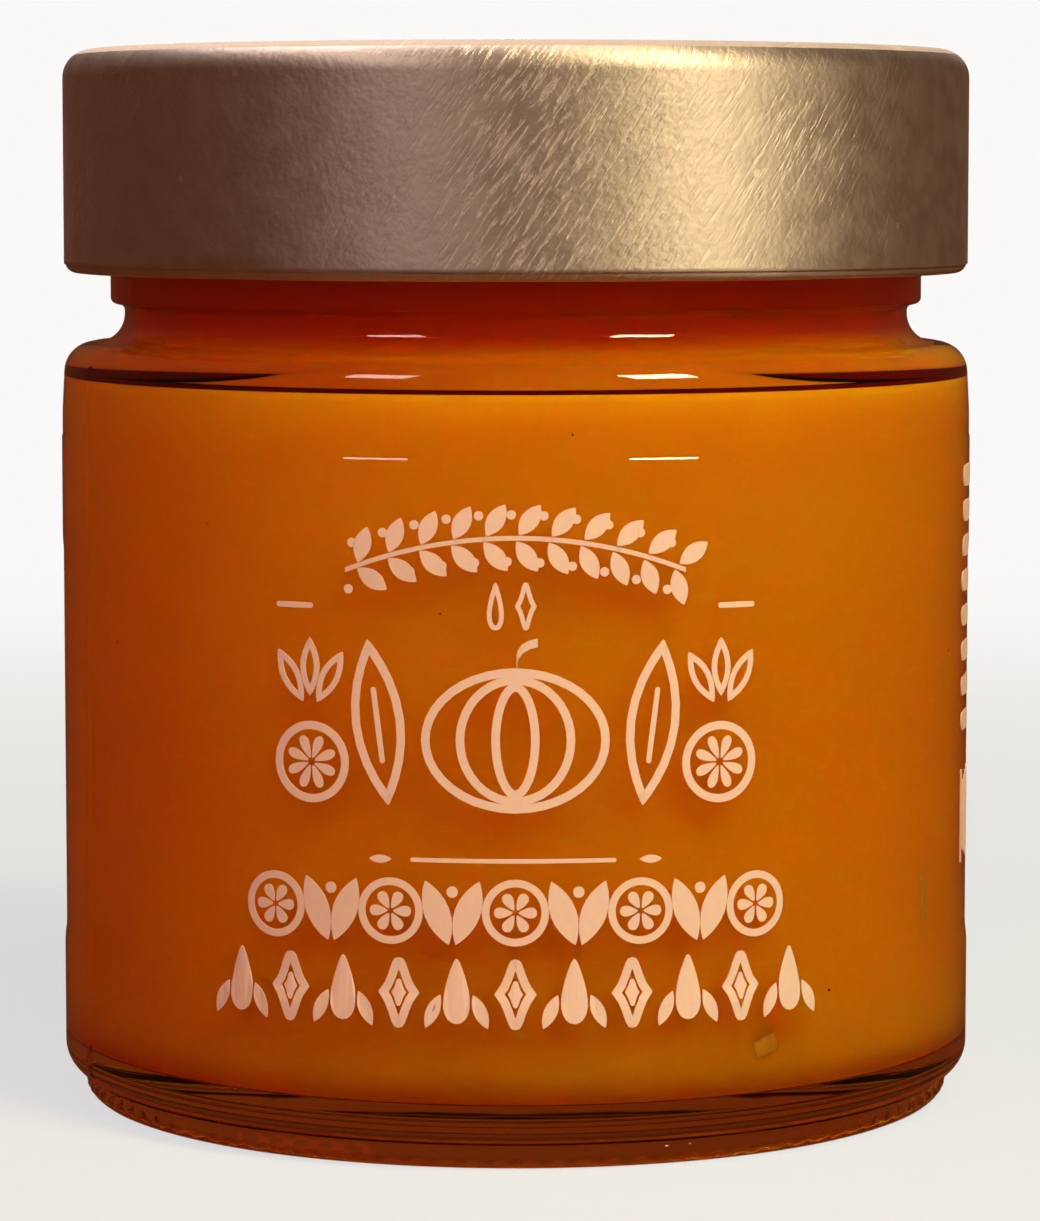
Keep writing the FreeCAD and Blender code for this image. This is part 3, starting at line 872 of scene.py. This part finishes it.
def smoothed(model):
    """Leave edit mode, with the model shaded smooth."""
    bpy.ops.object.mode_set(mode="OBJECT")
    bpy.ops.object.shade_smooth()
    return done(model)


# The dice that show: azimuth in degrees, then height, width and tallness in millimetres.
SHOWN_DICE = ((33.0, 8.3, 2.1, 1.5), (-30.0, 59.3, 0.8, 0.6), (64.0, 17.4, 0.7, 4.2))
HIDDEN_DICE = 9
# The specks: name, how many, and their smallest and largest width in millimetres.
SPECKS = (("pulp_specks", 420, 0.09, 0.26), ("dark_specks", 26, 0.15, 0.42))


class JAMJAR_OT_bits(bpy.types.Operator):
    """Scatter the diced peel and the fine specks of pulp that lie against the glass"""

    bl_idname = "jamjar.bits"
    bl_label = "Bits in the jam"

    def execute(self, context):
        colours = values("colours")
        draw = random.Random(SEED)
        self.peel(draw, wet_bit("candied_peel", colours.peel, (1, 0.5, 0.1), 1 * MM))
        self.specks(draw, wet_bit("pale_pulp", colours.speck, (1, 0.5, 0.2), 0.3 * MM),
                    wet_bit("dark_speck", colours.dark_speck, (1, 0.3, 0.1), 0.1 * MM))
        return {"FINISHED"}

    def peel(self, draw, material):
        """Small dice of peel: rounded cubes, laid at a slight tilt."""
        model = added("cube", size=1)
        edit(model)
        bpy.ops.mesh.bevel(offset=0.22, segments=2, affect="EDGES")
        smoothed(model)
        hidden = [(draw.uniform(80, 280), draw.uniform(7, 54), draw.uniform(0.9, 2.3),
                   draw.uniform(0.7, 1.8)) for count in range(HIDDEN_DICE)]
        parts = [lay(model, "dice", math.radians(turn), height * MM,
                     (wide * MM, 0.7 * MM, tall * MM), draw.uniform(-0.3, 0.3), 0.25 * MM)
                 for turn, height, wide, tall in (*SHOWN_DICE, *hidden)]
        bpy.data.objects.remove(model)
        finish(joined(parts, "peel_dice"), material, "squash_jam")

    def specks(self, draw, pale, dark):
        """Fine specks all over: most pale, a few dark."""
        model = added("ico_sphere", subdivisions=1, radius=0.5)
        edit(model)
        bpy.ops.transform.vertex_random(offset=0.12, uniform=0.5, seed=3)
        smoothed(model)
        for (name, count, low, high), material in zip(SPECKS, (pale, dark)):
            parts = []
            for index in range(count):
                across = draw.triangular(low, high, low)
                size = (across * MM, 0.12 * MM, across * draw.uniform(0.7, 1.5) * MM)
                parts.append(lay(model, name, draw.uniform(-math.pi, math.pi),
                                 draw.uniform(6.5, 55.0) * MM, size,
                                 draw.uniform(-1.5, 1.5), 0.03 * MM))
            finish(joined(parts, name), material, "squash_jam")
        bpy.data.objects.remove(model)


# ---- enamel print ----

def upright(kind, **settings):
    """A flat primitive that faces the front."""
    piece = added(kind, rotation=(math.pi / 2, 0, 0), **settings)
    bpy.ops.object.transform_apply()
    piece.select_set(False)
    return piece


def arc(height):
    """Half width of a circle of radius 1 at a height."""
    return math.sqrt(max(0.0, 1 - height * height))


# Flat shapes, 2 m wide and high: their points, and a share of the width at each height.
SHAPES = {
    "dot": (16, None),
    "oval": (40, None),
    "leaf": (24, lambda height: 0.08 + 0.92 * arc(height)),
    "seed": (24, lambda height: 0.66 - 0.34 * height),
    "diamond": (24, lambda height: 1 / max(1e-6, arc(height) + abs(height)) ** 1.6),
}


def flat_model(points, profile):
    """A filled circle, narrowed by its profile where it has one."""
    piece = upright("circle", vertices=points, radius=1, fill_type="NGON")
    if profile:
        reshape(piece, lambda place: Vector((place.x * profile(place.z), 0, place.z)))
    return piece


class Stencil:
    """Flat shapes laid out on the unrolled wall: across from the front, up from the base."""

    def __init__(self):
        self.models = {kind: flat_model(*shape) for kind, shape in SHAPES.items()}
        self.parts = []

    def put(self, kind, across, up, wide, tall, tilt=0.0, line=0.0):
        """Lay a shape by its half width and half height, in millimetres; a line is an outline."""
        piece = placed(kind, self.models[kind].data.copy())
        piece.data.transform(Matrix.Translation((across * MM, 0, up * MM))
                             @ Matrix.Rotation(tilt, 4, "Y")
                             @ Matrix.Diagonal((wide * MM, 1, tall * MM, 1)))
        if line:
            edit(piece)
            bpy.ops.mesh.select_all(action="SELECT")
            bpy.ops.mesh.inset(thickness=line)
            bpy.ops.mesh.delete(type="FACE")
            done(piece)
        self.parts.append(piece)

    def bar(self, across, up, long, thick, tilt=0.0):
        """Lay a bar with rounded ends, by its length and its thickness, in millimetres."""
        piece = placed("bar", self.models["dot"].data.copy())
        run = (long - thick) / 2
        half = thick / 2

        def rule(place):
            shift = math.copysign(run, place.x) if abs(place.x) > 1e-4 else 0
            return Vector((place.x * half + shift, 0, place.z * half))

        reshape(piece, rule)
        piece.data.transform(Matrix.Translation((across * MM, 0, up * MM))
                             @ Matrix.Rotation(tilt, 4, "Y") @ Matrix.Scale(MM, 4))
        self.parts.append(piece)

    def ribbon(self, line, places):
        """Lay an even line through places, by drawing an upright edge along them."""
        piece = upright("plane", size=line)
        start = Vector((places[0][0], 0, places[0][1])) * MM
        piece.data.transform(Matrix.Translation(start) @ Matrix.Scale(0.1, 4, (1, 0, 0)))
        edit(piece)
        bpy.ops.mesh.select_mode(type="EDGE")
        bpy.ops.object.mode_set(mode="OBJECT")
        for edge in piece.data.edges:
            edge.select = all(piece.data.vertices[end].co.x > start.x for end in edge.vertices)
        bpy.ops.object.mode_set(mode="EDIT")
        for before, after in zip(places, places[1:]):
            bpy.ops.mesh.extrude_region_move(TRANSFORM_OT_translate={
                "value": ((after[0] - before[0]) * MM, 0, (after[1] - before[1]) * MM)})
        done(piece)
        self.parts.append(piece)

    def wheel(self, across, up, radius, line, segments):
        """A slice of citrus fruit: a rim, and segments that narrow towards its middle."""
        self.put("oval", across, up, radius, radius, 0, line * MM)
        reach = radius - line * 1.55
        for count in range(segments):
            turn = math.tau * (count + 0.5) / segments
            middle = reach * 0.56
            wide = 1.05 * middle * math.tan(math.pi / segments)
            self.put("seed", across + middle * math.sin(turn), up + middle * math.cos(turn),
                     wide, reach * 0.42, turn + math.pi)

    def whole(self, name):
        """Everything laid out so far, joined into one piece."""
        for model in self.models.values():
            bpy.data.objects.remove(model)
        return joined(self.parts, name)


# Places, half sizes and widths in the drawings are in millimetres.

def garland():
    """An arched sprig of small leaves and berries."""
    stencil = Stencil()

    def stem(across):
        return 46.75 - 0.0155 * across ** 2

    stencil.ribbon(values("print").fine_line,
                   [(0.6 * step, stem(0.6 * step)) for step in range(-21, 22)])
    reach = 1.62
    for count in range(-5, 6):
        across = count * 2.36
        up = stem(across)
        slope = math.atan(0.031 * across)
        for side, lean in ((1, 0.62), (-1, math.pi - 0.62)):
            turn = slope + lean
            stencil.put("leaf", across + 0.1 * side + reach * math.sin(turn),
                        up + reach * math.cos(turn), 0.66, 1.34, turn)
        for side in (-1, 1):
            stencil.put("dot", across + side * 0.15 - 0.45, up + side * 1.7, 0.34, 0.34)
    return stencil.whole("print_garland")


def squash_drawing():
    """A ribbed squash with its stalk, in fine line."""
    stencil = Stencil()
    line = values("print").line
    for wide, tall in ((6.9, 5.3), (4.35, 4.75), (1.75, 4.25)):
        stencil.put("oval", 0, 32.0, wide, tall, 0, line)
    stencil.ribbon(line, [(0.12, 37.55), (0.1, 37.9), (0.2, 38.3), (0.5, 38.7), (1.0, 39.0),
                          (1.6, 39.15)])
    return stencil.whole("print_squash")


def flanks():
    """Leaves, slices and seeds in fine line, to both sides of the squash."""
    stencil = Stencil()
    line = values("print").line
    for side in (-1, 1):
        stencil.put("leaf", side * 10.15, 33.2, 2.0, 6.1, side * 0.13, line)
        stencil.bar(side * 10.15, 33.0, 5.6, 0.42, math.pi / 2 + side * 0.13)
        stencil.wheel(side * 15.4, 30.1, 3.0, 0.6, 8)
        for lean, across, up in ((-0.5, 13.9, 36.4), (0.0, 15.5, 37.1), (0.5, 17.1, 36.4)):
            stencil.put("leaf", side * across, up, 0.78, 2.15, side * lean, line * 0.7)
    return stencil.whole("print_flanks")


def bold_rows():
    """Two bold rows below the rule: leaves and slices, then diamonds and seeds."""
    stencil = Stencil()
    for count in range(-4, 5):
        across = count * 4.62
        if count % 2:
            for side in (-1, 1):
                stencil.put("leaf", across + side * 1.12, 19.35, 0.95, 2.5, side * 0.36)
            stencil.put("dot", across, 20.9, 0.42, 0.42)
        else:
            stencil.wheel(across, 19.4, 2.45, 0.55, 6)
    for count in range(-5, 6):
        across = count * 4.3
        if count % 2:
            stencil.put("seed", across, 13.6, 1.35, 2.4)
            for side in (-1, 1):
                stencil.put("leaf", across + side * 1.75, 12.1, 0.5, 1.35, side * -0.42)
        else:
            stencil.put("diamond", across, 13.4, 1.55, 2.6, 0, 0.62 * MM)
            stencil.put("diamond", across, 13.4, 0.55, 1.0)
    return stencil.whole("print_rows")


def small_marks():
    """The rule, the dashes, and the two small outlines between the drawings."""
    stencil = Stencil()
    stencil.bar(-0.15, 23.2, 15.1, 0.32)
    for side in (-1, 1):
        stencil.bar(side * 16.75, 41.6, 3.0, 0.42)
        stencil.put("leaf", side * 10.0, 23.2, 0.3, 0.85, math.pi / 2)
    line = values("print").fine_line
    stencil.put("seed", -1.45, 41.8, 0.85, 1.75, 0, line)
    stencil.put("diamond", 0.75, 41.8, 0.8, 1.75, 0, line)
    return stencil.whole("print_marks")


def side_panel():
    """A plain column of bars and a block of fine lines, round the right side."""
    stencil = Stencil()
    left = values("glass").panel / MM * math.radians(75.5)
    for count in range(8):
        long = 5.6 if count % 3 == 0 else 4.7
        stencil.bar(left + long / 2, 49.5 - 2.75 * count, long, 1.75 - 0.03 * count)
    for count in range(9):
        long = 6.4 - (count * 5 % 4) * 0.9
        stencil.bar(left + 7.2 + long / 2, 50.2 - 2.45 * count, long, 0.55)
    for count in range(9):
        stencil.bar(left + 0.4 + 0.95 * count, 22.8, 7.4 - (count * 3 % 4) * 0.6, 0.55,
                    math.pi / 2)
    return stencil.whole("print_side")


class JAMJAR_OT_print(bpy.types.Operator):
    """Print the enamel: flat motifs are cut into narrow strips, rolled round the jar, thickened"""

    bl_idname = "jamjar.enamel"
    bl_label = "Print"

    def execute(self, context):
        enamel = fired_enamel()
        for draw in (garland, squash_drawing, flanks, bold_rows, small_marks, side_panel):
            piece = draw()
            self.cut(piece)
            self.roll(piece)
            self.face_out(piece)
            self.thicken(piece)
            finish(piece, enamel, "clear_glass")
        return {"FINISHED"}

    def cut(self, piece):
        """Cut a flat print into strips narrow enough to follow the wall."""
        strip = values("print").strip
        wide = [point.co.x for point in piece.data.vertices]
        place = min(wide) + strip
        edit(piece)
        while place < max(wide):
            bpy.ops.mesh.select_all(action="SELECT")
            bpy.ops.mesh.bisect(plane_co=(place, 0, 0), plane_no=(1, 0, 0))
            place += strip
        done(piece)

    def roll(self, piece):
        """Roll a flat print onto the wall, just under the skin of the glass."""
        sink = values("print").sink
        panel = values("glass").panel
        outline = glass_outline()

        def rule(place):
            radius = wall_radius(outline, place.z) - sink
            turn = place.x / panel
            return Vector((radius * math.sin(turn), -radius * math.cos(turn), place.z))

        reshape(piece, rule)

    def face_out(self, piece):
        """Turn round every face that looks in towards the jar, so that all thicken outwards."""
        for face in piece.data.polygons:
            if face.normal.x * face.center.x + face.normal.y * face.center.y < 0:
                face.flip()
        piece.data.update()

    def thicken(self, piece):
        """Give a rolled print its thickness."""
        sizes = values("print")
        modified(piece, "thickness", "SOLIDIFY", thickness=sizes.thickness + sizes.sink,
                 offset=1)


# ---- stage ----

# Soft panels: name, azimuth and elevation in degrees, distance, width and height, radiance,
# colour, and the rays that miss them. The walls only fill, and show in no reflection.
LAMPS = (
    ("left_window", -38.7, 42, 0.62, (0.152, 0.125), 12, "FFE0D2", ()),
    ("right_window", 41.2, 42, 0.62, (0.162, 0.141), 43, "FFE6B4", ()),
    ("upper_card", -150, 58, 0.9, (0.35, 0.3), 14, "FFE8E0", ("diffuse", "transmission")),
    ("left_wall", -58, 24, 0.9, (0.5, 0.6), 1.5, "FF2C14", ("glossy",)),
    ("right_wall", 42, 46, 0.9, (0.5, 0.5), 4.3, "FFE684", ("glossy",)),
    ("front_wall", 12, 50, 0.9, (0.4, 0.4), 4.1, "FFE6A0", ("glossy",)),
)
AIM = Vector((0, 0, 45 * MM))
LENS = 140.8
CAMERA_PLACE = (0.33 * MM, -379.8 * MM, 73.39 * MM)
CAMERA_DROP = math.radians(5.297)


def hide_from(thing, *rays):
    """Hide a lamp or a card from some kinds of ray."""
    for kind in rays:
        setattr(thing, f"visible_{kind}", False)


class JAMJAR_OT_stage(bpy.types.Operator):
    """Set up the pale floor, the soft panels, the dim room and the camera"""

    bl_idname = "jamjar.stage"
    bl_label = "Stage"

    def execute(self, context):
        self.floor()
        for described in LAMPS:
            self.lamp(*described)
        self.room()
        self.camera()
        context.scene.view_settings.view_transform = "Standard"
        return {"FINISHED"}

    def floor(self):
        """A wide pale card, which only the camera sees, so that the jar keeps its deep tones."""
        floor = added("circle", vertices=96, radius=0.6, fill_type="NGON")
        floor.name = "studio_floor"
        floor.data.materials.append(studio_floor())
        hide_from(floor, "diffuse", "glossy", "transmission")
        floor.select_set(False)

    def lamp(self, name, azimuth, elevation, distance, size, radiance, code, missed):
        """A soft panel that points at the middle of the jar."""
        data = bpy.data.lights.new(name, "AREA")
        data.shape = "RECTANGLE"
        data.size, data.size_y = size
        data.energy = math.pi * size[0] * size[1] * radiance
        data.color = linear(code)
        lamp = placed(name, data)
        across = math.radians(azimuth)
        up = math.radians(elevation)
        ray = Vector((math.sin(across) * math.cos(up), -math.cos(across) * math.cos(up),
                      math.sin(up)))
        lamp.location = AIM + ray * distance
        lamp.rotation_euler = ray.to_track_quat("Z", "Y").to_euler()
        hide_from(lamp, *missed)

    def room(self):
        """A dim warm room round a bright backdrop, and redder where it is seen through glass."""
        world = bpy.data.worlds.new("studio")
        bpy.context.scene.world = world
        world.use_nodes = True
        tree = world.node_tree
        tree.nodes.clear()
        up = add_node(tree, "SeparateXYZ", {0: add_node(tree, "TexCoord").outputs["Generated"]})
        side = ramp(tree, up.outputs["Z"], -0.05, 0.3)
        path = add_node(tree, "LightPath").outputs
        through = maths(tree, "GREATER_THAN", path["Transmission Depth"], 0.5)
        tint = blend(tree, side, linear("84482A"), linear("7A5648"))
        tint = blend(tree, through, tint, linear("98380C"))
        room = add_node(tree, "Background", {"Color": tint, "Strength": 0.45})
        drop = add_node(tree, "Background", {"Color": linear("FAF9F7"), "Strength": 1.0})
        surface(tree, mixed(tree, path["Is Camera Ray"], room, drop), "World")

    def camera(self):
        """A long lens close to the jar, a little above its middle."""
        data = bpy.data.cameras.new("camera")
        data.lens = LENS
        data.sensor_width = 36
        data.clip_start = 0.01
        camera = placed("camera", data)
        camera.location = CAMERA_PLACE
        camera.rotation_euler = (math.radians(90) - CAMERA_DROP, 0, 0)
        bpy.context.scene.camera = camera


class JAMJAR_PT_panel(bpy.types.Panel):
    """Buttons for every piece, in the sidebar"""

    bl_idname = "JAMJAR_PT_panel"
    bl_label = "Jam Jar"
    bl_space_type = "VIEW_3D"
    bl_region_type = "UI"
    bl_category = "Jam Jar"

    def draw(self, context):
        for operator in OPERATORS:
            self.layout.operator(operator.bl_idname)


GROUPS = {"glass": JamJarGlass, "lid": JamJarLid, "print": JamJarPrint,
          "colours": JamJarColours}
OPERATORS = (JAMJAR_OT_glass, JAMJAR_OT_jam, JAMJAR_OT_bits, JAMJAR_OT_lid, JAMJAR_OT_print,
             JAMJAR_OT_stage)


def register():
    for kind in (*GROUPS.values(), *OPERATORS, JAMJAR_PT_panel):
        bpy.utils.register_class(kind)
    for name, group in GROUPS.items():
        setattr(bpy.types.Scene, f"jam_jar_{name}", bpy.props.PointerProperty(type=group))


def unregister():
    for name in GROUPS:
        delattr(bpy.types.Scene, f"jam_jar_{name}")
    for kind in reversed((*GROUPS.values(), *OPERATORS, JAMJAR_PT_panel)):
        bpy.utils.unregister_class(kind)


def main():
    register()
    bpy.ops.jamjar.glass()
    bpy.ops.jamjar.jam()
    bpy.ops.jamjar.bits()
    bpy.ops.jamjar.lid()
    bpy.ops.jamjar.enamel()
    bpy.ops.jamjar.stage()


if __name__ == "__main__":
    main()
